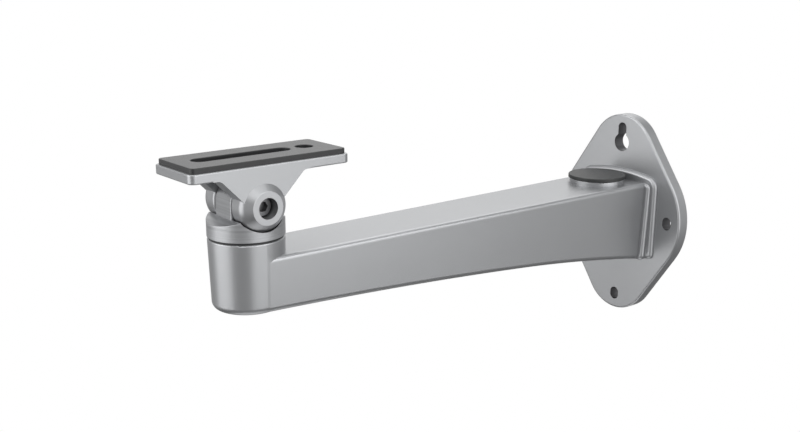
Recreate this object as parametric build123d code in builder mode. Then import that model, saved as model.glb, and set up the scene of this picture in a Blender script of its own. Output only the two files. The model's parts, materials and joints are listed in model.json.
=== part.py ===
from build123d import *
import os
from math import radians, tan

# Wall bracket for a camera.
# A cast arm carries its own wall plate at one end and an upright turret at the other.
# A swivel base pans on the turret, and a slotted camera plate tilts on the tongue of that base.
# The wall face lies in the plane Y = 0, the arm stands out along -Y, and +Z is up.
# The origin is on the wall face, midway between the two side holes of the wall plate.

# Wall plate: a rounded diamond, the hull of two side circles and of a circle at either end.
wall_plate_thickness = 8.5
wall_end_radius = 25.7
wall_end_height = 42.3
wall_side_radius = 44.5
wall_side_reach = 6.2
wall_edge_round = 1.3

# Holes of the wall plate: upright slots at the sides and the bottom, and a keyhole above the arm.
wall_slot_width = 6.7
wall_slot_length = 8.5
side_hole_spacing = 81.2
bottom_hole_height = -57.6
keyhole_head_radius = 6.05
keyhole_head_height = 49.1
keyhole_neck_height = 59.2

# Arm: flat on top, deeper and wider towards the wall.
reach = 302.0
arm_top_height = 25.0
arm_wall_half_width = 24.4
arm_head_inset = 0.1
arm_head_depth = 29.0
arm_middle_depth = 39.2
arm_middle_distance = 118.5
arm_wall_depth = 54.7
arm_head_slope = 0.028
arm_top_round = 2.4
arm_bottom_round = 3.0
casting_draft = 1.8
casting_wall = 4.2

# Root of the arm: a round-edged ridge at its sides, on an arched foot.
ridge_step = 2.1
ridge_half_width = 27.9
ridge_depth = 52.6
ridge_corner_round = 3.4
ridge_round = 2.2
foot_thickness = 2.7
foot_margin = 4.2
foot_draft = 1.0
foot_rise = 7.0
foot_shoulder_drop = 4.1
foot_corner_round = 8.0
foot_low_round = 3.0
foot_depth = 51.5
foot_edge_round = 2.5

# Hollow of the arm, cored from the wall side, and the cable port on its top.
hollow_end_wall = 14.0
hollow_overrun = 1.0
hollow_corner_round = 3.0
port_distance = 32.6
port_boss_radius = 17.8
port_boss_height = 3.4
port_boss_round = 1.0
port_hole_radius = 13.5

# Plug of the cable port.
plug_disc_radius = 18.7
plug_disc_thickness = 2.2
plug_disc_round = 0.6
plug_stem_clearance = 0.2
plug_wall = 2.5
plug_bead_height = 2.4
plug_bead_overhang = 0.7

# Turret
turret_radius = 20.0
turret_rim_height = 33.2
turret_height = 37.6
turret_rim_round = 0.8
turret_foot_round = 4.0
spigot_bore_depth = 6.4
turret_web = 8.0
turret_recess_radius = 10.0

# Swivel base
ring_thickness = 1.2
ring_recess = 0.8
base_overhang = 0.1
base_edge_height = 8.8
base_roof_slope = 0.35
base_edge_round = 0.5
spigot_radius = 11.8
spigot_clearance = 0.3
pivot_rise = 18.3
tongue_thickness = 15.2
tongue_radius = 12.8
tongue_edge_round = 0.5
scoop_radius = 14.0
scoop_rim_radius = 12.6
scoop_taper_width = 3.6
scoop_overrun = 2.0

# Pan bolt with its washer and disc springs
pan_bolt_diameter = 8.0
pan_bolt_length = 30.0
pan_head_diameter = 13.0
pan_head_height = 8.0
pan_key_width = 6.0
pan_key_depth = 4.0
pan_washer_diameter = 16.0
pan_washer_thickness = 1.6
disc_spring_thickness = 0.9
disc_spring_cone = 0.4
clearance_hole_margin = 0.25

# Camera plate and its two ears
camera_plate_rise = 34.6
camera_plate_thickness = 4.9
camera_plate_width = 38.2
camera_plate_front = 40.0
camera_plate_back = 52.3
camera_plate_corner = 3.4
camera_plate_round = 0.7
camera_slot_width = 7.0
camera_slot_front = 27.8
camera_slot_back = 25.8
camera_hole_radius = 3.5
camera_hole_distance = 36.4
ear_boss_radius = 13.2
ear_boss_round = 5.0
ear_inner_round = 1.5
ear_ring_radius = 8.7
ear_ring_proud = 3.3
ear_ring_round = 0.4
ear_half_width_top = 24.0
ear_half_width_low = 10.0
ear_low_rise = 2.2
ear_plate_round = 4.0

# Tilt bolt with its nut and friction washers
tilt_bolt_diameter = 6.0
tilt_bolt_length = 30.0
tilt_head_diameter = 10.0
tilt_head_height = 6.0
tilt_key_width = 5.0
tilt_key_depth = 3.0
tilt_head_bore_diameter = 10.9
tilt_head_sink = 5.4
tilt_nut_width = 10.0
tilt_nut_height = 6.0
tilt_nut_clearance = 0.3
tilt_washer_thickness = 0.5
tilt_washer_diameter = 21.0

# Rubber pad on the camera plate
pad_thickness = 2.8
pad_inset = 1.4
pad_corner = 2.4
pad_slot_width = 9.7
pad_slot_margin = 1.4
pad_hole_radius = 4.8
pad_edge_round = 0.4

small_chamfer = 0.4
thread_clearance = 0.05

# How a selection tells its edges and faces: within this distance, or mostly along an axis.
nearby = 0.01
mostly = 0.9

# Heights and places that follow from the sizes above.
ridge_distance = wall_plate_thickness + foot_thickness + ridge_step
arm_end = wall_plate_thickness + foot_thickness / 2
draft_tangent = tan(radians(casting_draft))
turret_bottom = turret_rim_height - turret_height
arm_head_half_width = turret_radius - (turret_rim_height - arm_top_height) * draft_tangent - arm_head_inset
base_bottom = turret_rim_height + ring_thickness
base_radius = turret_radius + base_overhang
base_edge_top = turret_rim_height + base_edge_height
pivot_height = turret_rim_height + pivot_rise
camera_plate_bottom = turret_rim_height + camera_plate_rise
camera_plate_top = camera_plate_bottom + camera_plate_thickness
tongue_half = tongue_thickness / 2
ear_inner = tongue_half + tilt_washer_thickness
ear_outer = camera_plate_width / 2
ring_face = ear_outer + ear_ring_proud
tilt_head_top = ring_face - tilt_head_sink
tilt_head_seat = tilt_head_top - tilt_head_height
tilt_bolt_end = tilt_head_seat - tilt_bolt_length
tilt_nut_seat = tilt_bolt_end + tilt_nut_height + small_chamfer
turret_floor = turret_rim_height - spigot_bore_depth
turret_web_bottom = turret_floor - turret_web
disc_spring_height = disc_spring_thickness + disc_spring_cone
pan_head_seat = turret_web_bottom - pan_washer_thickness - 2 * disc_spring_height
port_top = arm_top_height + port_boss_height
hollow_end = reach - turret_radius - hollow_end_wall
tilt_bore_radius = tilt_bolt_diameter / 2 + clearance_hole_margin
pan_bore_radius = pan_bolt_diameter / 2 + clearance_hole_margin


def arm_half_width(distance):
    """Half width of the arm's top at a distance from the wall."""
    share = (reach - distance) / (reach - arm_end)
    return arm_head_half_width + share * (arm_wall_half_width - arm_head_half_width)


def downwards(height):
    """A plane at a height that faces down: its x is +X and its y is the distance from the wall."""
    return Plane(origin=(0, 0, height), x_dir=(1, 0, 0), z_dir=(0, 0, -1))


# Distances across the arm are measured from the pan axis on this plane and its parallels.
pan_centre = (0, -reach)
side_view = Plane.YZ
wall_view = Plane.XZ


# Arm body: its plan is drawn down with the casting's draft, and then trimmed by the side
# view, whose lower edge is two arcs that steepen towards the wall.
with BuildPart() as arm_body:
    with BuildSketch(downwards(arm_top_height)):
        with BuildLine():
            Polyline((0, reach), (arm_head_half_width, reach), (arm_wall_half_width, arm_end), (0, arm_end))
            mirror(about=Plane.YZ)
        make_face()
    extrude(amount=arm_wall_depth + arm_bottom_round, taper=casting_draft)
    with BuildSketch(side_view):
        with BuildLine():
            far_bottom = (-reach, arm_top_height - arm_head_depth)
            middle_bottom = (-arm_middle_distance, arm_top_height - arm_middle_depth)
            wall_bottom = (0, arm_top_height - arm_wall_depth)
            outer_arc = TangentArc(far_bottom, middle_bottom, tangent=(1, -arm_head_slope))
            TangentArc(middle_bottom, wall_bottom, tangent=outer_arc % 1)
            Polyline(wall_bottom, (0, arm_top_height), (-reach, arm_top_height), far_bottom)
        make_face()
    extrude(amount=2 * arm_wall_half_width, both=True, mode=Mode.INTERSECT)
    top_edges = arm_body.faces().sort_by(Axis.Z)[-1].edges()
    fillet(top_edges.filter_by(lambda edge: abs(edge.tangent_at(0.5).X) < mostly), arm_top_round)
    bottom_faces = arm_body.faces().filter_by(lambda face: face.normal_at().Z < -mostly)
    bottom_edges = [
        edge
        for face in bottom_faces
        for edge in face.edges()
        if abs(edge.tangent_at(0.5).X) < mostly
    ]
    fillet(bottom_edges, arm_bottom_round)


# Ridge: a band round the root of the arm, with a rounded front edge that shows at the sides.
# It leans with the casting's draft, so its foot stands further from the wall than its top.
with BuildPart() as ridge:
    ridge_plane = Plane(origin=(0, -ridge_distance, 0), x_dir=(1, 0, 0), z_dir=(0, -1, draft_tangent))
    with BuildSketch(ridge_plane):
        with BuildLine():
            ridge_low = arm_top_height - ridge_depth
            ridge_half_low = ridge_half_width - ridge_depth * draft_tangent
            Polyline(
                (-ridge_half_low, ridge_low),
                (ridge_half_low, ridge_low),
                (ridge_half_width, arm_top_height),
                (-ridge_half_width, arm_top_height),
                close=True,
            )
        ridge_face = make_face()
        fillet(ridge_face.vertices(), ridge_corner_round)
    extrude(amount=arm_end - ridge_distance)
    fillet(ridge.faces().sort_by(Axis.Y)[0].edges(), ridge_round)


# Core of the arm: the hollow that a cable runs through, open on the wall side.
with BuildPart() as arm_core:
    with BuildSketch(downwards(arm_top_height - casting_wall)):
        with BuildLine():
            open_half = arm_half_width(0) - casting_wall
            shut_half = arm_half_width(hollow_end) - casting_wall
            Polyline(
                (0, hollow_end),
                (shut_half, hollow_end),
                (open_half, -hollow_overrun),
                (0, -hollow_overrun),
            )
            mirror(about=Plane.YZ)
        make_face()
    extrude(amount=arm_wall_depth, taper=casting_draft)
    with BuildSketch(side_view):
        with BuildLine():
            core_arc = TangentArc(
                (-reach, arm_top_height - arm_head_depth + casting_wall),
                (-arm_middle_distance, arm_top_height - arm_middle_depth + casting_wall),
                tangent=(1, -arm_head_slope),
            )
            wall_arc = TangentArc(
                core_arc @ 1,
                (0, arm_top_height - arm_wall_depth + casting_wall),
                tangent=core_arc % 1,
            )
            Polyline(
                wall_arc @ 1,
                (hollow_overrun, (wall_arc @ 1).Y),
                (hollow_overrun, arm_top_height - casting_wall),
                (-reach, arm_top_height - casting_wall),
                core_arc @ 0,
            )
        make_face()
    extrude(amount=2 * arm_wall_half_width, both=True, mode=Mode.INTERSECT)
    long_edges = arm_core.edges().filter_by(lambda edge: abs(edge.tangent_at(0.5).Y) > mostly)
    fillet(long_edges.filter_by(lambda edge: edge.length > hollow_end_wall), hollow_corner_round)


# Turret: a drafted drum at the head of the arm.
with BuildPart() as turret:
    with BuildSketch(downwards(turret_rim_height)):
        with Locations((0, reach)):
            Circle(turret_radius)
    extrude(amount=turret_height, taper=casting_draft)
    rims = turret.edges().filter_by(GeomType.CIRCLE).sort_by(Axis.Z)
    fillet(rims[0], turret_foot_round)
    fillet(turret.edges().filter_by(GeomType.CIRCLE).sort_by(Axis.Z)[-1], turret_rim_round)


# Arm casting: wall plate, foot, arm, cable port and turret in one piece.
with BuildPart() as arm_casting:
    with BuildSketch(wall_view):
        with Locations((0, -wall_end_height), (0, wall_end_height)):
            Circle(wall_end_radius)
        with Locations((-wall_side_reach, 0), (wall_side_reach, 0)):
            Circle(wall_side_radius)
        make_hull()
    extrude(amount=wall_plate_thickness)
    fillet(arm_casting.faces().sort_by(Axis.Y)[0].edges(), wall_edge_round)
    foot_half_top = ridge_half_width + foot_margin
    foot_half_low = foot_half_top - foot_depth * tan(radians(foot_draft))
    foot_shoulder = arm_top_height + foot_rise - foot_shoulder_drop
    with BuildSketch(wall_view.offset(wall_plate_thickness)) as foot_face:
        with BuildLine():
            foot_low = arm_top_height - foot_depth
            Line((-foot_half_low, foot_low), (foot_half_low, foot_low))
            Line((foot_half_low, foot_low), (foot_half_top, foot_shoulder))
            ThreePointArc(
                (foot_half_top, foot_shoulder),
                (0, arm_top_height + foot_rise),
                (-foot_half_top, foot_shoulder),
            )
            Line((-foot_half_top, foot_shoulder), (-foot_half_low, foot_low))
        make_face()
        fillet(foot_face.vertices().sort_by(Axis.Y)[:2], foot_low_round)
        fillet(foot_face.vertices().sort_by(Axis.Y)[-2:], foot_corner_round)
    extrude(amount=foot_thickness)
    fillet(arm_casting.faces().sort_by(Axis.Y)[0].edges(), foot_edge_round)
    add(arm_body)
    add(ridge)
    add(turret)
    with BuildSketch(Plane.XY.offset(arm_top_height - casting_wall / 2)):
        with Locations((0, -port_distance)):
            Circle(port_boss_radius)
    extrude(amount=port_boss_height + casting_wall / 2)
    port_faces = arm_casting.faces().filter_by(
        lambda face: abs(face.center().Z - port_top) < nearby and face.normal_at().Z > mostly
    )
    fillet(port_faces.edges(), port_boss_round)
    add(arm_core, mode=Mode.SUBTRACT)
    with BuildSketch(Plane.XY.offset(port_top)):
        with Locations((0, -port_distance)):
            Circle(port_hole_radius)
    extrude(amount=-(port_boss_height + 2 * casting_wall), mode=Mode.SUBTRACT)
    with BuildSketch(wall_view):
        with Locations((-side_hole_spacing / 2, 0), (side_hole_spacing / 2, 0), (0, bottom_hole_height)):
            SlotOverall(wall_slot_length, wall_slot_width, rotation=90)
        with Locations((0, keyhole_head_height)):
            Circle(keyhole_head_radius)
        with Locations((0, keyhole_neck_height)):
            Circle(wall_slot_width / 2)
        with Locations((0, (keyhole_head_height + keyhole_neck_height) / 2)):
            Rectangle(wall_slot_width, keyhole_neck_height - keyhole_head_height)
    extrude(amount=wall_plate_thickness, mode=Mode.SUBTRACT)
    with BuildSketch(Plane.XY.offset(turret_rim_height)):
        with Locations(pan_centre):
            Circle(spigot_radius + spigot_clearance)
    extrude(amount=-spigot_bore_depth, mode=Mode.SUBTRACT)
    with BuildSketch(Plane.XY.offset(turret_floor)):
        with Locations(pan_centre):
            Circle(pan_bore_radius)
    extrude(amount=-turret_web, mode=Mode.SUBTRACT)
    with BuildSketch(Plane.XY.offset(turret_web_bottom)):
        with Locations(pan_centre):
            Circle(turret_recess_radius)
    extrude(amount=-(turret_web_bottom - turret_bottom), mode=Mode.SUBTRACT)
arm_casting.part.label = "arm_casting"


# Plug of the cable port: a disc with a hollow stem and a bead that snaps in under the arm's top.
with BuildPart() as cable_port_plug:
    stem_radius = port_hole_radius - plug_stem_clearance
    bead_top = arm_top_height - casting_wall - plug_stem_clearance
    stem_end = arm_top_height - casting_wall - plug_bead_height
    with BuildSketch(Plane.XZ.offset(port_distance)):
        with BuildLine():
            Polyline(
                (0, port_top + plug_disc_thickness),
                (plug_disc_radius, port_top + plug_disc_thickness),
                (plug_disc_radius, port_top),
                (stem_radius, port_top),
                (stem_radius, bead_top),
                (port_hole_radius + plug_bead_overhang, bead_top),
                (stem_radius - plug_bead_overhang, stem_end),
                (stem_radius - plug_wall, stem_end),
                (stem_radius - plug_wall, port_top),
                (0, port_top),
                close=True,
            )
        make_face()
    revolve(axis=Axis((0, -port_distance, 0), (0, 0, 1)))
    disc_edges = cable_port_plug.edges().filter_by(
        lambda edge: edge.center().Z > port_top + plug_disc_thickness - nearby
    )
    fillet(disc_edges, plug_disc_round)
cable_port_plug.part.label = "cable_port_plug"


# Friction ring between the turret and the swivel base.
with BuildPart() as pan_friction_ring:
    with BuildSketch(Plane.XY.offset(turret_rim_height)):
        with Locations(pan_centre):
            Circle(turret_radius - ring_recess)
            Circle(spigot_radius + spigot_clearance, mode=Mode.SUBTRACT)
    extrude(amount=ring_thickness)
pan_friction_ring.part.label = "pan_friction_ring"


# Scoop cutter: the round room that one ear sweeps through, on the +X side of the tongue.
with BuildPart() as scoop_cutter:
    scoop_rim = base_radius
    with BuildSketch(Plane.XZ.offset(reach)):
        with BuildLine():
            Polyline(
                (tongue_half, pivot_height),
                (scoop_rim + scoop_overrun, pivot_height),
                (scoop_rim + scoop_overrun, pivot_height - scoop_rim_radius),
                (scoop_rim, pivot_height - scoop_rim_radius),
                (scoop_rim - scoop_taper_width, pivot_height - scoop_radius),
                (tongue_half, pivot_height - scoop_radius),
                close=True,
            )
        make_face()
    revolve(axis=Axis((0, -reach, pivot_height), (1, 0, 0)))


# Tongue of the swivel base: an upright lug with a round top.
with BuildPart() as tongue:
    with BuildSketch(side_view):
        with Locations((-reach, pivot_height)):
            Circle(tongue_radius)
        with Locations((-reach, (pivot_height + base_bottom) / 2)):
            Rectangle(2 * tongue_radius, pivot_height - base_bottom)
    extrude(amount=tongue_half, both=True)
    tongue_sides = tongue.faces().sort_by(Axis.X)
    side_edges = tongue_sides[0].edges() + tongue_sides[-1].edges()
    fillet(side_edges.filter_by(lambda edge: edge.center().Z > base_bottom + nearby), tongue_edge_round)


# Swivel base: a drum with a sloping roof, scooped for the ears, with a spigot below and a tongue.
with BuildPart() as swivel_base:
    with BuildSketch(Plane.XY.offset(base_bottom)):
        with Locations(pan_centre):
            Circle(base_radius)
    extrude(amount=pivot_rise)
    with BuildSketch(side_view):
        with BuildLine():
            roof_peak = base_edge_top + base_radius * base_roof_slope
            Polyline(
                (-reach - base_radius, base_bottom),
                (-reach + base_radius, base_bottom),
                (-reach + base_radius, base_edge_top),
                (-reach, roof_peak),
                (-reach - base_radius, base_edge_top),
                close=True,
            )
        make_face()
    extrude(amount=base_radius, both=True, mode=Mode.INTERSECT)
    fillet(swivel_base.edges().filter_by(GeomType.ELLIPSE), base_edge_round)
    add(scoop_cutter, mode=Mode.SUBTRACT)
    mirrored_scoop = mirror(scoop_cutter.part, about=Plane.YZ, mode=Mode.PRIVATE)
    add(mirrored_scoop, mode=Mode.SUBTRACT)
    add(tongue)
    with BuildSketch(Plane.XY.offset(base_bottom)):
        with Locations(pan_centre):
            Circle(spigot_radius)
    extrude(amount=-(spigot_bore_depth + ring_thickness - spigot_clearance))
    with BuildSketch(side_view):
        with Locations((-reach, pivot_height)):
            Circle(tilt_bore_radius)
    extrude(amount=tongue_half, both=True, mode=Mode.SUBTRACT)
    with BuildSketch(Plane.XY.offset(turret_floor)):
        with Locations(pan_centre):
            Circle(pan_bolt_diameter / 2 + thread_clearance)
    extrude(
        amount=pan_head_seat + pan_bolt_length + small_chamfer - turret_floor,
        mode=Mode.SUBTRACT,
    )
swivel_base.part.label = "swivel_base"


# Pan bolt: a socket-head screw that comes up through the turret into the swivel base.
with BuildPart() as pan_bolt:
    with BuildSketch(Plane.XY.offset(pan_head_seat)):
        with Locations(pan_centre):
            Circle(pan_head_diameter / 2)
    extrude(amount=-pan_head_height)
    chamfer(pan_bolt.edges().sort_by(Axis.Z)[0], small_chamfer)
    with BuildSketch(Plane.XY.offset(pan_head_seat)):
        with Locations(pan_centre):
            Circle(pan_bolt_diameter / 2)
    extrude(amount=pan_bolt_length)
    chamfer(pan_bolt.edges().sort_by(Axis.Z)[-1], small_chamfer)
    with BuildSketch(Plane.XY.offset(pan_head_seat - pan_head_height)):
        with Locations(pan_centre):
            RegularPolygon(pan_key_width / 2, 6, major_radius=False)
    extrude(amount=pan_key_depth, mode=Mode.SUBTRACT)
pan_bolt.part.label = "pan_bolt"


# Pan washer, flat against the web of the turret.
with BuildPart() as pan_washer:
    with BuildSketch(Plane.XY.offset(turret_web_bottom)):
        with Locations(pan_centre):
            Circle(pan_washer_diameter / 2)
            Circle(pan_bore_radius, mode=Mode.SUBTRACT)
    extrude(amount=-pan_washer_thickness)
pan_washer.part.label = "pan_washer"


# Disc springs: two shallow cones, rim to rim, that keep the pan joint's friction.
with BuildPart() as pan_disc_springs:
    spring_top = turret_web_bottom - pan_washer_thickness
    spring_rim = pan_washer_diameter / 2
    with BuildSketch(Plane.XZ.offset(reach)):
        with BuildLine():
            Polyline(
                (pan_bore_radius, spring_top),
                (spring_rim, spring_top - disc_spring_cone),
                (spring_rim, spring_top - disc_spring_height),
                (pan_bore_radius, spring_top - disc_spring_thickness),
                close=True,
            )
        make_face()
    revolve(axis=Axis((0, -reach, 0), (0, 0, 1)))
    mirror(about=Plane.XY.offset(spring_top - disc_spring_height))
pan_disc_springs.part.label = "pan_disc_springs"


# Ear on the +X side of the tongue: a turned boss with its ring, and the web that hangs it.
with BuildPart() as ear:
    cone_start = ring_face - (ear_boss_radius - ear_ring_radius)
    with BuildSketch(Plane.XZ.offset(reach)) as boss_profile:
        with BuildLine():
            Polyline(
                (ear_inner, pivot_height),
                (ear_inner, pivot_height + ear_boss_radius),
                (cone_start, pivot_height + ear_boss_radius),
                (ring_face, pivot_height + ear_ring_radius),
                (ring_face, pivot_height),
                close=True,
            )
        make_face()
        for corner, corner_round in (
            ((ear_inner, pivot_height + ear_boss_radius), ear_inner_round),
            ((cone_start, pivot_height + ear_boss_radius), ear_boss_round),
            ((ring_face, pivot_height + ear_ring_radius), ear_ring_round),
        ):
            fillet(boss_profile.vertices().sort_by_distance(corner)[0], corner_round)
    revolve(axis=Axis((0, -reach, pivot_height), (1, 0, 0)))
    with BuildSketch(side_view.offset(ear_inner)) as web_profile:
        web_top = camera_plate_bottom + camera_plate_thickness / 2
        web_top_half = ear_half_width_top + ear_plate_round
        with BuildLine():
            Polyline(
                (-reach - web_top_half, web_top),
                (-reach - web_top_half, camera_plate_bottom),
                (-reach - ear_half_width_top, camera_plate_bottom),
                (-reach - ear_half_width_low, pivot_height + ear_low_rise),
                (-reach + ear_half_width_low, pivot_height + ear_low_rise),
                (-reach + ear_half_width_top, camera_plate_bottom),
                (-reach + web_top_half, camera_plate_bottom),
                (-reach + web_top_half, web_top),
                close=True,
            )
        make_face()
        for side in (-1, 1):
            corner = (-reach + side * ear_half_width_top, camera_plate_bottom)
            fillet(web_profile.vertices().sort_by_distance(corner)[0], ear_plate_round)
    extrude(amount=ear_outer - ear_inner)


# Camera plate: a slotted slab with two ears.
with BuildPart() as camera_plate:
    plate_length = camera_plate_front + camera_plate_back
    plate_centre = (0, -reach + (camera_plate_back - camera_plate_front) / 2)
    with BuildSketch(Plane.XY.offset(camera_plate_bottom)):
        with Locations(plate_centre):
            RectangleRounded(camera_plate_width, plate_length, camera_plate_corner)
    extrude(amount=camera_plate_thickness)
    fillet(camera_plate.faces().filter_by(Axis.Z).edges(), camera_plate_round)
    add(ear)
    add(mirror(ear.part, about=Plane.YZ, mode=Mode.PRIVATE))
    with BuildSketch(Plane.XY.offset(camera_plate_bottom)):
        with Locations((0, -reach + (camera_slot_back - camera_slot_front) / 2)):
            SlotOverall(camera_slot_front + camera_slot_back, camera_slot_width, rotation=90)
        with Locations((0, -reach + camera_hole_distance)):
            Circle(camera_hole_radius)
    extrude(amount=camera_plate_thickness, mode=Mode.SUBTRACT)
    with BuildSketch(side_view):
        with Locations((-reach, pivot_height)):
            Circle(tilt_bore_radius)
    extrude(amount=ring_face, both=True, mode=Mode.SUBTRACT)
    with BuildSketch(side_view.offset(tilt_head_seat)):
        with Locations((-reach, pivot_height)):
            Circle(tilt_head_bore_diameter / 2)
    extrude(amount=ring_face - tilt_head_seat, mode=Mode.SUBTRACT)
    with BuildSketch(side_view.offset(-ring_face)):
        with Locations((-reach, pivot_height)):
            RegularPolygon(tilt_nut_width / 2 + tilt_nut_clearance / 2, 6, major_radius=False)
    extrude(amount=ring_face + tilt_nut_seat, mode=Mode.SUBTRACT)
camera_plate.part.label = "camera_plate"


# Rubber pad on top of the camera plate, with wider openings over the slot and the hole.
with BuildPart() as camera_pad:
    with BuildSketch(Plane.XY.offset(camera_plate_top)):
        with Locations(plate_centre):
            RectangleRounded(camera_plate_width - 2 * pad_inset, plate_length - 2 * pad_inset, pad_corner)
        with Locations((0, -reach + (camera_slot_back - camera_slot_front) / 2)):
            pad_slot_length = camera_slot_front + camera_slot_back + 2 * pad_slot_margin
            SlotOverall(pad_slot_length, pad_slot_width, rotation=90, mode=Mode.SUBTRACT)
        with Locations((0, -reach + camera_hole_distance)):
            Circle(pad_hole_radius, mode=Mode.SUBTRACT)
    extrude(amount=pad_thickness)
    fillet(camera_pad.faces().sort_by(Axis.Z)[-1].edges(), pad_edge_round)
camera_pad.part.label = "camera_pad"


# Tilt bolt: a socket-head screw along the pivot axis, its head sunk in the +X ear.
with BuildPart() as tilt_bolt:
    with BuildSketch(side_view.offset(tilt_head_seat)):
        with Locations((-reach, pivot_height)):
            Circle(tilt_head_diameter / 2)
    extrude(amount=tilt_head_height)
    chamfer(tilt_bolt.edges().sort_by(Axis.X)[-1], small_chamfer)
    with BuildSketch(side_view.offset(tilt_head_seat)):
        with Locations((-reach, pivot_height)):
            Circle(tilt_bolt_diameter / 2)
    extrude(amount=-tilt_bolt_length)
    chamfer(tilt_bolt.edges().sort_by(Axis.X)[0], small_chamfer)
    with BuildSketch(side_view.offset(tilt_head_top)):
        with Locations((-reach, pivot_height)):
            RegularPolygon(tilt_key_width / 2, 6, major_radius=False)
    extrude(amount=-tilt_key_depth, mode=Mode.SUBTRACT)
tilt_bolt.part.label = "tilt_bolt"


# Lock nut of the tilt bolt, in the hexagonal pocket of the -X ear.
with BuildPart() as tilt_lock_nut:
    with BuildSketch(side_view.offset(tilt_nut_seat)):
        with Locations((-reach, pivot_height)):
            RegularPolygon(tilt_nut_width / 2, 6, major_radius=False)
            Circle(tilt_bolt_diameter / 2 + thread_clearance, mode=Mode.SUBTRACT)
    extrude(amount=-tilt_nut_height)
tilt_lock_nut.part.label = "tilt_lock_nut"


# Friction washers between the tongue and the ears.
tilt_washers = []
for washer_side in (-1, 1):
    with BuildPart() as tilt_washer:
        with BuildSketch(side_view.offset(washer_side * tongue_half)):
            with Locations((-reach, pivot_height)):
                Circle(tilt_washer_diameter / 2)
                Circle(tilt_bore_radius, mode=Mode.SUBTRACT)
        extrude(amount=washer_side * tilt_washer_thickness)
    tilt_washer.part.label = "tilt_washer_left" if washer_side < 0 else "tilt_washer_right"
    tilt_washers.append(tilt_washer.part)


os.makedirs("parts", exist_ok=True)
pieces = [
    arm_casting.part,
    cable_port_plug.part,
    pan_friction_ring.part,
    swivel_base.part,
    pan_bolt.part,
    pan_washer.part,
    pan_disc_springs.part,
    camera_plate.part,
    camera_pad.part,
    tilt_bolt.part,
    tilt_lock_nut.part,
    *tilt_washers,
]
for piece in pieces:
    export_step(piece, f"parts/{piece.label}.step")
    print(piece.label, "volume", round(piece.volume), "solids", len(piece.solids()))
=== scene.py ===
# %% [markdown]
# # A cast wall bracket for a camera
#
# The bracket is a silver-grey casting with a long hollow arm. A wall plate closes it at one
# end, and a turret with a swivel base and a tilting camera plate stands at the other. The
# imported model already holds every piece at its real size, so this lesson is about its looks:
# the finish of each surface, the light of a small studio, and the photographer's camera.

import json
from math import cos, pi, radians, sin

import bpy
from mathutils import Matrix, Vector


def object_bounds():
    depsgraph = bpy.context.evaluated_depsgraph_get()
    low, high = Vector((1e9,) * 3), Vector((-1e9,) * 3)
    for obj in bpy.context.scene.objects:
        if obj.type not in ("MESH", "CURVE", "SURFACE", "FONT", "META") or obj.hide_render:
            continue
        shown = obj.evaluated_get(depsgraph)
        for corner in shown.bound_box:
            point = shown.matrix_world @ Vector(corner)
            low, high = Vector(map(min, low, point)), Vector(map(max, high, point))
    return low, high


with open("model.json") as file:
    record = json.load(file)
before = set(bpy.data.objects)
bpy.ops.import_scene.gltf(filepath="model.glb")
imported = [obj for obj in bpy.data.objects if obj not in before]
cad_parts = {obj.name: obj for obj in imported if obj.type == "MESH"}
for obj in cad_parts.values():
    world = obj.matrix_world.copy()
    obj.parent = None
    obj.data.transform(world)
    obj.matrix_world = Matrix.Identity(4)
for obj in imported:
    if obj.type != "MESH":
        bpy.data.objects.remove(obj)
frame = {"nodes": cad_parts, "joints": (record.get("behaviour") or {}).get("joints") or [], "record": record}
packed_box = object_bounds()
scene = bpy.context.scene
scene.view_settings.view_transform = "Standard"
print("pieces:", ", ".join(sorted(frame["nodes"])))

# %% [markdown]
# ## Where the photographer stood
#
# The photograph was taken from close by, a little above the arm, so the camera plate looks
# large and the wall plate runs away to the right. A camera is an object like any other. It
# could be nudged by hand until the picture agrees, but each nudge upsets another edge, so its
# place and its two angles were worked out from edges that are square on the real bracket.
# Pitch tips it down and yaw turns it, and it isn't rolled.

# %% The camera
camera_place = Vector((0.45866, -0.57042, 0.17447))
camera_yaw = 0.8928
camera_pitch = 0.2442
lens_mm = 47.85
nearest_seen = 0.01

camera_data = bpy.data.cameras.new("photographer")
camera_data.lens = lens_mm
camera_data.clip_start = nearest_seen
camera = bpy.data.objects.new("photographer", camera_data)
camera.location = camera_place
camera.rotation_euler = (pi / 2 - camera_pitch, 0, camera_yaw)
scene.collection.objects.link(camera)
scene.camera = camera
print("camera", [round(x, 3) for x in camera_place], "lens", lens_mm)

# %% [markdown]
# ## Tools for shader nodes
#
# Every finish below is a Principled shader with a few nodes in front of it. Placing and wiring
# those by hand takes many lines that all look alike, so a few helpers do it. An input is named
# in the call, and gets either a constant or a link, whichever it is given.

# %% Materials and nodes


def new_finish(name):
    """A new material, its node tree and its Principled shader."""
    material = bpy.data.materials.new(name)
    material.use_nodes = True
    tree = material.node_tree
    return material, tree, tree.nodes["Principled BSDF"]


def fill(tree, socket, value):
    """Links an input to an output, or sets it to a constant."""
    if isinstance(value, bpy.types.NodeSocket):
        tree.links.new(value, socket)
    else:
        socket.default_value = value


def fill_inputs(tree, node, **inputs):
    """Fills a node's inputs by name, with _ for a blank, and returns the node."""
    for label, value in inputs.items():
        fill(tree, node.inputs[label.replace("_", " ")], value)
    return node


def add_node(tree, kind, **inputs):
    """A new node of this kind with these inputs filled."""
    return fill_inputs(tree, tree.nodes.new(kind), **inputs)


print("node tools ready")

# %% [markdown]
# ## Noise that lives on the piece
#
# A real finish is never one flat colour. An image of it would need seams and would blur from
# close by, but noise that is worked out in space has neither fault. It reads the Object
# coordinates, which are metres here, so a grain has its real size on every piece, and it
# stays put when the piece swings on its joint. One noise can then drive three things: the
# colour, the roughness, and a bump that catches the light.

# %% Grain, ranges and bumps


def own_place(tree):
    """The point on the piece, in the piece's own metres."""
    return tree.nodes.new("ShaderNodeTexCoord").outputs["Object"]


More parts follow.
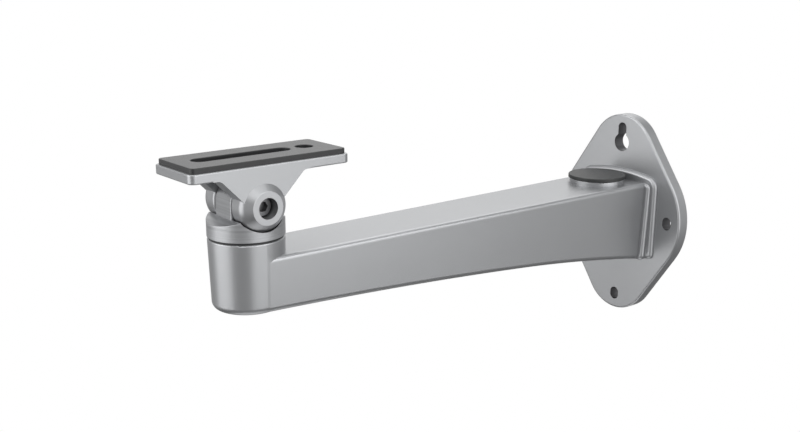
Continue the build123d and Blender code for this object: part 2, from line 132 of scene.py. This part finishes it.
def grain(tree, place, size, detail=3.0):
    """Noise from 0 to 1 whose lumps are about this many metres across."""
    noise = add_node(
        tree, "ShaderNodeTexNoise", Vector=place, Scale=1 / size, Detail=detail, Roughness=0.55
    )
    return noise.outputs["Fac"]


def spread(tree, value, low, high, **limits):
    """Maps a value to the range from low to high. The value runs from 0 to 1, or between limits."""
    inputs = {"Value": value, "To_Min": low, "To_Max": high, **limits}
    return add_node(tree, "ShaderNodeMapRange", **inputs).outputs["Result"]


def blend_colours(tree, value, dark, light):
    """A colour between two others, by a 0 to 1 value."""
    ramp = add_node(tree, "ShaderNodeValToRGB", Fac=value)
    ramp.color_ramp.elements[0].color = (*dark, 1)
    ramp.color_ramp.elements[1].color = (*light, 1)
    return ramp.outputs["Color"]


def bumped(tree, height, depth, **below):
    """Normals bent by a 0 to 1 height map this many metres deep, over others if given."""
    bump = add_node(tree, "ShaderNodeBump", Height=height, Distance=depth, Strength=1.0, **below)
    return bump.outputs["Normal"]


print("grain tools ready")

# %% [markdown]
# ## Silver-grey powder coat
#
# The castings are blasted aluminium under a satin silver powder coat. Such a coat has metal
# flakes in it, so it mirrors the studio softly instead of spreading light evenly, and its skin
# is very slightly lumpy. Plain grey paint would lose the bands that run down the turret, and
# bare metal would be too sharp, so the base is metallic with middling roughness. Fine noise
# lifts and sinks the skin by a few hundredths of a millimetre, and broad noise shifts the
# colour by a hair. It is a function, because three castings wear it, and two of them add to it.

# %% The powder coat
skin_lump = 0.0006
skin_depth = 0.00003
cloud_size = 0.045
silver_tones = (0.368, 0.374, 0.384), (0.388, 0.394, 0.404)
silver_roughness = 0.32, 0.40
flake_share = 0.85


def silver_coat(name):
    """The coat's material, tree and shader, the place on the piece, and the skin's noise."""
    material, tree, coat = new_finish(name)
    place = own_place(tree)
    skin = grain(tree, place, skin_lump)
    clouds = grain(tree, place, cloud_size)
    fill_inputs(
        tree,
        coat,
        Base_Color=blend_colours(tree, clouds, *silver_tones),
        Metallic=flake_share,
        Roughness=spread(tree, skin, *silver_roughness),
        Normal=bumped(tree, skin, skin_depth),
    )
    return material, tree, coat, place, skin


def put_on(material, *nodes):
    """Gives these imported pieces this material."""
    for node in nodes:
        frame["nodes"][node].material_slots[0].material = material
    print(material.name, "on", ", ".join(nodes))


powder_coat = silver_coat("powder_coat")[0]
put_on(powder_coat, "camera_plate")

# %% [markdown]
# ## Outlines of the wall plate's holes
#
# The walls of the wall plate's holes stand in shadow, so a painted shade, a dark tone in the
# coat's colour, is put on them. The casting is one piece with one material, so the material
# has to find the walls by their place. An upright slot is every point within a radius of a
# short upright line, and a round hole is the same about a line of no length. The imported
# record knows the screw holes, and only the keyhole's neck has to be added to them. The two
# side holes lie alike about the middle, so one outline serves both.

# %% Where the holes are
millimetre = 0.001
neck_top = 0.0592
neck_radius = 0.00335
mounts = {mount["name"]: mount for mount in frame["record"]["mounts"]}


def hole_outline(name):
    """How far aside a hole's upright line stands, the line's two heights, and the radius."""
    x, _, z = mounts[name]["pos_m"]
    dims = mounts[name]["dims"]
    radius = dims["hole_r_mm"] * millimetre
    half_line = max(0, dims.get("slot_length_mm", 0) * millimetre / 2 - radius)
    return abs(x), z - half_line, z + half_line, radius


key_head = hole_outline("keyhole_head")
key_neck = (key_head[0], key_head[1], neck_top, neck_radius)
wall_holes = [hole_outline("wall_slot_right"), hole_outline("wall_slot_bottom"), key_head, key_neck]
for outline in wall_holes:
    print("hole outline", [round(x, 5) for x in outline])

# %% [markdown]
# ## The arm's coat
#
# The arm, the turret and the wall plate are one casting in the powder coat. A painted shade, a
# dark tone, takes over wherever a point lies within a hole's outline, grown by a hair so that
# the wall itself is inside, and no deeper than the plate. A picture of the holes could be laid
# over the plate instead, but its edges would be less sharp. Math nodes do the sum. Their
# inputs all bear the same name, so they are filled by their order. Squared distances are
# compared, which saves a square root.

# %% Sums made of nodes


def calculate(tree, kind, operation, values):
    """The outputs of a new math node of this kind, which works on these values."""
    node = tree.nodes.new(kind)
    node.operation = operation
    for socket, value in zip(node.inputs, values):
        fill(tree, socket, value)
    return node.outputs


def joined(tree, operation, *numbers):
    """What a math node makes of one or two numbers."""
    return calculate(tree, "ShaderNodeMath", operation, numbers)["Value"]


print("sums ready")

# %% The painted shade on the hole walls
hole_edge = 0.00006
plate_depth = 0.0086
# Painted shade: the dark tone that is painted on the hole walls, which stand in shadow.
painted_hole_shade = (0.13, 0.13, 0.135, 1)

arm_coat, tree, coat, place, skin = silver_coat("arm_coat")
along = add_node(tree, "ShaderNodeSeparateXYZ", Vector=place).outputs
aside = joined(tree, "ABSOLUTE", along["X"])
in_hole = 0.0
for line_aside, low, high, radius in wall_holes:
    nearest = joined(tree, "MINIMUM", joined(tree, "MAXIMUM", along["Z"], low), high)
    rise = joined(tree, "SUBTRACT", along["Z"], nearest)
    run = joined(tree, "SUBTRACT", aside, line_aside)
    rise_squared = joined(tree, "MULTIPLY", rise, rise)
    distance_squared = joined(tree, "ADD", rise_squared, joined(tree, "MULTIPLY", run, run))
    within = joined(tree, "LESS_THAN", distance_squared, (radius + hole_edge) ** 2)
    in_hole = joined(tree, "MAXIMUM", in_hole, within)
in_plate = joined(tree, "GREATER_THAN", along["Y"], -plate_depth)

# A Mix node keeps its two colours in sockets 6 and 7, and their blend in output 2.
# This mix paints the shade onto the hole walls, over the coat's own colour.
shaded_walls = add_node(tree, "ShaderNodeMix", Factor=joined(tree, "MULTIPLY", in_hole, in_plate))
shaded_walls.data_type = "RGBA"
fill(tree, shaded_walls.inputs[6], coat.inputs["Base Color"].links[0].from_socket)
fill(tree, shaded_walls.inputs[7], painted_hole_shade)
fill_inputs(tree, coat, Base_Color=shaded_walls.outputs[2])
put_on(arm_coat, "arm_casting")

# %% [markdown]
# ## Turned rings on the swivel base
#
# The drum of the swivel base was turned on a lathe, which left fine level rings that show
# through the coat. Cut into the mesh, they would take thousands of faces. Noise that reads
# only the height gives the same with none: it is alike all round the piece, and no two rings
# have the same width or tone. The whole piece turns a little darker and lighter in level
# lines. On the drum the rings also have depth and differ in gloss, and a mask keeps that to
# the drum's outside, by the distance from the pan axis.

# %% Noise in level rings
ring_pitch = 0.0012
ring_tones = (0.29, 0.295, 0.304), (0.455, 0.462, 0.474)

turned_coat, tree, coat, place, skin = silver_coat("turned_coat")
height = add_node(tree, "ShaderNodeSeparateXYZ", Vector=place).outputs["Z"]
ring_noise = tree.nodes.new("ShaderNodeTexNoise")
ring_noise.noise_dimensions = "1D"
fill_inputs(tree, ring_noise, W=height, Scale=1 / ring_pitch, Detail=2.0)
rings = ring_noise.outputs["Fac"]
fill_inputs(tree, coat, Base_Color=blend_colours(tree, rings, *ring_tones))
print("turned rings about", round(ring_pitch / millimetre, 2), "mm apart")

# %% The drum's outside
# The drum is the widest part of the swivel base, so the piece's own box gives its radius.
drum_radius = max(corner[0] for corner in frame["nodes"]["swivel_base"].bound_box)
mask_begins = 0.985 * drum_radius
mask_full = 0.995 * drum_radius
pan_x, pan_y, _ = next(joint["pos_m"] for joint in frame["joints"] if joint["name"] == "pan")


def vector_math(tree, operation, *vectors):
    """The outputs of a vector math node: Vector, and Value where the answer is a number."""
    return calculate(tree, "ShaderNodeVectorMath", operation, vectors)


from_axis = vector_math(tree, "SUBTRACT", place, (pan_x, pan_y, 0))["Vector"]
spoke = vector_math(tree, "MULTIPLY", from_axis, (1, 1, 0))["Vector"]
reach = vector_math(tree, "LENGTH", spoke)["Value"]
outside = spread(tree, reach, 0, 1, From_Min=mask_begins, From_Max=mask_full)
drum_rings = joined(tree, "MULTIPLY", rings, outside)
print("drum radius", round(drum_radius / millimetre, 2), "mm, about", (pan_x, pan_y))

# %% Depth and gloss of the rings
ring_depth = 0.00008
ring_dullness = 0.2
drum_roughness = 0.28, 0.36

dulled = joined(tree, "MULTIPLY", drum_rings, ring_dullness)
fill_inputs(
    tree,
    coat,
    Roughness=joined(tree, "ADD", spread(tree, skin, *drum_roughness), dulled),
    Normal=bumped(tree, drum_rings, ring_depth, Normal=bumped(tree, skin, skin_depth)),
)
put_on(turned_coat, "swivel_base")

# %% [markdown]
# ## Rubber pad
#
# The pad is black rubber with a dull moulded skin. Its top is seen at a low angle, where every
# surface shines more, so it picks up the white of the studio and looks mid grey, while its
# edge stays nearly black. A grey base colour would be too light at the edge. A very dark one
# with some gloss does both by itself, and a little sheen stands for the dust in its pores.

# %% The pad's rubber
pore_size = 0.0008
pore_depth = 0.00006
rubber_tones = (0.009, 0.009, 0.010), (0.016, 0.016, 0.017)
rubber_roughness = 0.36, 0.48

pad_rubber, tree, rubber = new_finish("pad_rubber")
pores = grain(tree, own_place(tree), pore_size, detail=4.0)
fill_inputs(
    tree,
    rubber,
    Base_Color=blend_colours(tree, pores, *rubber_tones),
    Roughness=spread(tree, pores, *rubber_roughness),
    Specular_IOR_Level=0.55,
    Sheen_Weight=0.12,
    Sheen_Roughness=0.35,
    Normal=bumped(tree, pores, pore_depth),
)
put_on(pad_rubber, "camera_pad")

# %% [markdown]
# ## Black nylon
#
# The plug of the cable port, the ring between turret and swivel base, and the two washers of
# the tilt joint are moulded nylon, nearly black. The mould was spark eroded, which leaves a
# fine even grain. The pad's rubber could serve here too, but nylon is duller and holds no
# dust, so it is rougher and has no sheen.

# %% The nylon
mould_grain_size = 0.0005
mould_grain_depth = 0.00003
nylon_tones = (0.012, 0.013, 0.013), (0.023, 0.024, 0.024)
nylon_roughness = 0.42, 0.6

black_nylon, tree, nylon = new_finish("black_nylon")
mould_grain = grain(tree, own_place(tree), mould_grain_size, detail=2.0)
fill_inputs(
    tree,
    nylon,
    Base_Color=blend_colours(tree, mould_grain, *nylon_tones),
    Roughness=spread(tree, mould_grain, *nylon_roughness),
    Normal=bumped(tree, mould_grain, mould_grain_depth),
)
put_on(black_nylon, "cable_port_plug", "pan_friction_ring", "tilt_washer_left", "tilt_washer_right")

# %% [markdown]
# ## Steel of the fasteners
#
# The two socket-head bolts are blackened steel, and the nut, the washer and the disc springs
# are zinc plated. Plating is bright but never a mirror, so its roughness wanders a little. The
# two differ in nothing but tone and roughness, so one function makes both.

# %% Blackened and plated steel
steel_cloud_size = 0.0015
steel_cloud_depth = 0.00001
black_tones = (0.13, 0.13, 0.135), (0.19, 0.19, 0.195)
black_roughness = 0.3, 0.45
zinc_tones = (0.50, 0.51, 0.52), (0.62, 0.63, 0.64)
zinc_roughness = 0.22, 0.4


def steel(name, tones, roughness):
    """A steel finish from its two tones and the two ends of its roughness."""
    material, tree, metal = new_finish(name)
    clouds = grain(tree, own_place(tree), steel_cloud_size)
    fill_inputs(
        tree,
        metal,
        Base_Color=blend_colours(tree, clouds, *tones),
        Metallic=1.0,
        Roughness=spread(tree, clouds, *roughness),
        Normal=bumped(tree, clouds, steel_cloud_depth),
    )
    return material


black_steel = steel("black_steel", black_tones, black_roughness)
zinc_steel = steel("zinc_steel", zinc_tones, zinc_roughness)
put_on(black_steel, "pan_bolt", "tilt_bolt")
put_on(zinc_steel, "pan_washer", "pan_disc_springs", "tilt_lock_nut")

# %% [markdown]
# ## Which rays see the studio's white
#
# The photograph's background is pure white, and yet the bracket's sides turn dark and light. A
# white room would wash them out. So the white is kept for the camera's own rays and for those
# that gloss or glass sends on, and dull surfaces get no light from it. The Light Path node
# tells these rays apart.

# %% Rays from the camera and rays from gloss


def direct_or_mirrored(tree):
    """Two values: 1 for a ray from the camera, and 1 for a ray that gloss or glass sends on."""
    path = tree.nodes.new("ShaderNodeLightPath").outputs
    mirrored = joined(tree, "MAXIMUM", path["Is Glossy Ray"], path["Is Transmission Ray"])
    return path["Is Camera Ray"], mirrored


print("kinds of ray told apart")

# %% [markdown]
# ## The floor
#
# The floor lies far below, so that the upright faces don't mirror it and it still catches a
# shadow. A wide square would do for one picture, but a round one looks alike from every side.
# Its edge would show against the white, so it glows a little to the camera and in mirrors,
# which blends it into the background. An Add Shader adds the glow to the floor's pale paint.

# %% The floor's disc
floor_drop = 1.2
floor_radius = 0.7
floor_edges = 128
lowest, highest = packed_box
middle = (lowest + highest) / 2
floor_place = (middle.x, middle.y, lowest.z - floor_drop)

bpy.ops.mesh.primitive_circle_add(
    vertices=floor_edges, radius=floor_radius, fill_type="NGON", location=floor_place
)
floor = bpy.context.object
floor.name = "studio_floor"
print("floor at", round(floor_place[2], 3))

# %% The floor's paint
floor_glow = 0.35

floor_paint, tree, paint = new_finish("floor_paint")
fill_inputs(tree, paint, Base_Color=(0.8, 0.8, 0.8, 1), Roughness=0.9, Specular_IOR_Level=0.0)
lift = joined(tree, "MULTIPLY", joined(tree, "MAXIMUM", *direct_or_mirrored(tree)), floor_glow)
glow = add_node(tree, "ShaderNodeEmission", Color=(1, 1, 1, 1), Strength=lift)
both = tree.nodes.new("ShaderNodeAddShader")
fill(tree, both.inputs[0], paint.outputs[0])
fill(tree, both.inputs[1], glow.outputs[0])
fill(tree, tree.nodes["Material Output"].inputs["Surface"], both.outputs[0])
floor.data.materials.append(floor_paint)
print("floor glow", floor_glow)

# %% [markdown]
# ## The room
#
# The camera sees white all round. The satin coat mirrors white too, but only behind the
# bracket and a little above it. The rest of the room is dim, and dimmer still below, which
# keeps the bottom edges of the arm dark. White boards round the bracket could do this, but
# they would hide it from other sides. So it is all one world shader, whose strength depends
# on the kind of ray and on the direction that the ray goes.

# %% White behind the bracket
white_rise = radians(25)
white_begins = 0.7
white_full = 0.95
level_share = cos(white_rise)
to_white = (-sin(camera_yaw) * level_share, cos(camera_yaw) * level_share, sin(white_rise))

world = bpy.data.worlds.new("studio")
scene.world = world
world.use_nodes = True
tree = world.node_tree
tree.nodes.clear()
direction = tree.nodes.new("ShaderNodeTexCoord").outputs["Generated"]
facing = vector_math(tree, "DOT_PRODUCT", direction, to_white)["Value"]
behind = add_node(
    tree, "ShaderNodeMapRange", Value=facing, From_Min=white_begins, From_Max=white_full
)
behind.interpolation_type = "SMOOTHSTEP"
direct, mirrored = direct_or_mirrored(tree)
mirrored_white = joined(tree, "MULTIPLY", mirrored, behind.outputs["Result"])
white = joined(tree, "MAXIMUM", direct, mirrored_white)
print("white towards", [round(x, 2) for x in to_white])

# %% A dim room around it
room_level = 0.45
room_level_below = 0.15
dimmest_slope = -0.7
brightest_slope = -0.25

slope = add_node(tree, "ShaderNodeSeparateXYZ", Vector=direction).outputs["Z"]
room = spread(
    tree, slope, room_level_below, room_level, From_Min=dimmest_slope, From_Max=brightest_slope
)
strength = spread(tree, white, room, 1.0)
background = add_node(tree, "ShaderNodeBackground", Color=(1, 1, 1, 1), Strength=strength)
output = tree.nodes.new("ShaderNodeOutputWorld")
fill(tree, output.inputs["Surface"], background.outputs[0])
print("room level", room_level, "and below", room_level_below)

# %% [markdown]
# ## Soft lights
#
# Two wide soft boxes stand left and right of the photographer, each with a brighter one above
# it. A box high in front and one high behind light the top of the arm, and a panel hangs
# overhead. The turret mirrors the two wide boxes as two light bands, with the dimmer room
# between them as the dark one. A lamp's power alone says little, because a bigger face
# spreads it thinner. So each lamp is placed by the direction in which the bracket sees it,
# and its brightness is that of its face.

# %% The lamps
# Azimuth and elevation in degrees, then distance, width and height in metres, then brightness.
soft_boxes = {
    "left_box": (-16, 0, 1.5, 1.55, 1.25, 1.6),
    "left_upper_box": (-25, 32, 1.4, 1.1, 0.6, 2.8),
    "right_box": (98, 0, 1.5, 1.7, 1.25, 1.45),
    "right_upper_box": (110, 32, 1.4, 1.3, 0.6, 2.5),
    "front_upper_box": (45, 45, 1.4, 0.8, 0.8, 1.45),
    "back_upper_box": (-130, 45, 1.4, 1.0, 0.8, 1.2),
    "overhead_panel": (50, 88, 1.2, 1.4, 1.4, 1.05),
}


def add_soft_box(name, azimuth, elevation, distance, width, height, brightness):
    """A lamp that faces the middle of the bracket from this direction."""
    a, e = radians(azimuth), radians(elevation)
    direction = Vector((sin(a) * cos(e), -cos(a) * cos(e), sin(e)))
    data = bpy.data.lights.new(name, "AREA")
    data.shape = "RECTANGLE"
    data.size = width
    data.size_y = height
    data.energy = brightness * pi * width * height
    lamp = bpy.data.objects.new(name, data)
    lamp.location = middle + direction * distance
    lamp.rotation_euler = direction.to_track_quat("Z", "Y").to_euler()
    lamp.visible_camera = False
    scene.collection.objects.link(lamp)
    print(name, round(data.energy, 1), "W")


for name, numbers in soft_boxes.items():
    add_soft_box(name, *numbers)
